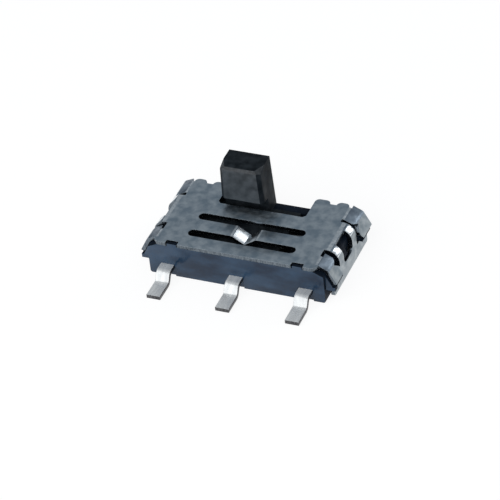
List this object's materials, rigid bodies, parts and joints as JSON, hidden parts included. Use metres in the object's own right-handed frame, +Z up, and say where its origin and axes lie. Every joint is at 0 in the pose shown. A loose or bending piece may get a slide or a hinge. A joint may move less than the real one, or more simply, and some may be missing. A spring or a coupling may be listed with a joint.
{
  "type": "slide switch",
  "caption": "Miniature surface-mount slide switch: black moulded housing, folded steel cover with slots and a detent leaf, upright sliding knob, gull-wing leads along one side.",
  "frame": {"origin": "middle of the housing's flat underside, on the board plane", "axes": "+X along the knob's travel, from the rest position to the other one; -Y to the side that the leads leave; +Z up, away from the board"},
  "size_m": [0.0072, 0.0049, 0.003],
  "materials": {
    "housing_plastic": "semi-gloss moulded",
    "cover_steel": "dull, slightly blued sheet",
    "slider_plastic": "satin moulded",
    "contact_bronze": "bright spring strip",
    "lead_metal": "bright plated"
  },
  "bodies": {
    "housing": {"base": "housing_plastic", "cover": "cover_steel", "terminal_left": "lead_metal", "terminal_common": "lead_metal", "terminal_right": "lead_metal"},
    "slider": {"slider": "slider_plastic", "moving_contact": "contact_bronze"}
  },
  "joints": [
    {"name": "slider_travel", "type": "slide", "parent": "housing", "child": "slider", "axis": [1, 0, 0], "range_m": [0, 0.0013]}
  ]
}
